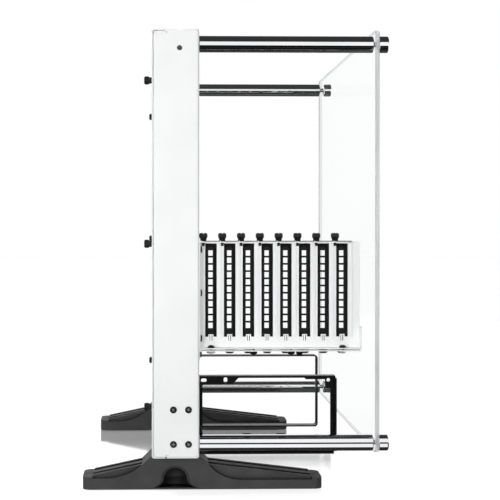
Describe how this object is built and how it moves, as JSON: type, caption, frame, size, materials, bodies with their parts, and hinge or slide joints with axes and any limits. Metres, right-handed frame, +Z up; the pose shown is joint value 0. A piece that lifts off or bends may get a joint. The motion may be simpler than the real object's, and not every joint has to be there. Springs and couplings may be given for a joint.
{
  "type": "open air test bench",
  "caption": "Open-frame computer chassis: upright flat white steel box on black feet, with a clear panel on chrome posts, vented slot covers and a power supply cradle.",
  "frame": {"origin": "middle of the footprint, on the floor under the feet", "axes": "+X from the upright box towards the clear panel, +Y along the box from the slot end to the port end, +Z up"},
  "size_m": [0.333, 0.4744, 0.501],
  "materials": {
    "white_paint": "satin white powder coat",
    "black_paint": "fine-textured black powder coat",
    "chrome": "mirror",
    "clear_sheet": "clear, polished edges",
    "black_plastic": "fine moulded texture",
    "rubber": "matte",
    "black_screw": "black zinc",
    "zinc": "zinc plated",
    "circuit_board": "satin solder mask",
    "nylon": "translucent white"
  },
  "bodies": {
    "bench": {"audio_sockets": "black_plastic", "clear_panel": "clear_sheet", "foot_bolts": "zinc", "foot_bracket_far": "zinc", "foot_bracket_near": "zinc", "foot_far": "black_plastic", "foot_near": "black_plastic", "foot_pads_far": "rubber", "foot_pads_near": "rubber", "foot_screws": "black_screw", "knob_far_low": "chrome", "knob_far_top": "chrome", "knob_near_low": "chrome", "knob_near_top": "chrome", "main_tray": "white_paint", "panel_washers": "nylon", "port_bezel": "black_plastic", "port_board": "circuit_board", "port_board_screws": "zinc", "port_switches": "black_plastic", "post_bolts": "zinc", "post_far_low": "chrome", "post_far_top": "chrome", "post_near_low": "chrome", "post_near_top": "chrome", "psu_frame": "black_paint", "psu_frame_screws": "black_screw", "psu_strap": "black_paint", "psu_strap_screws": "black_screw", "psu_strap_thumbscrew": "black_screw", "rear_cover": "white_paint", "rear_cover_thumbscrews": "black_screw", "slot_cover_1": "black_paint", "slot_cover_2": "black_paint", "slot_cover_3": "black_paint", "slot_cover_4": "black_paint", "slot_cover_5": "black_paint", "slot_cover_6": "black_paint", "slot_cover_7": "black_paint", "slot_cover_8": "black_paint", "slot_holder": "white_paint", "slot_holder_screws": "black_screw", "slot_lock_nuts": "zinc", "slot_lock_screws": "black_screw", "slot_plate": "white_paint", "slot_shelf_screws": "black_screw", "slot_thumbscrews": "black_screw", "usb_sockets": "zinc"},
    "power_button": {"power_button": "black_plastic"},
    "reset_button": {"reset_button": "black_plastic"}
  },
  "joints": [
    {"name": "power_press", "type": "slide", "parent": "bench", "child": "power_button", "axis": [0, -1, 0], "range_m": [0, 0.0015], "stiffness_N_per_m": 500},
    {"name": "reset_press", "type": "slide", "parent": "bench", "child": "reset_button", "axis": [0, -1, 0], "range_m": [0, 0.0015], "stiffness_N_per_m": 400}
  ]
}
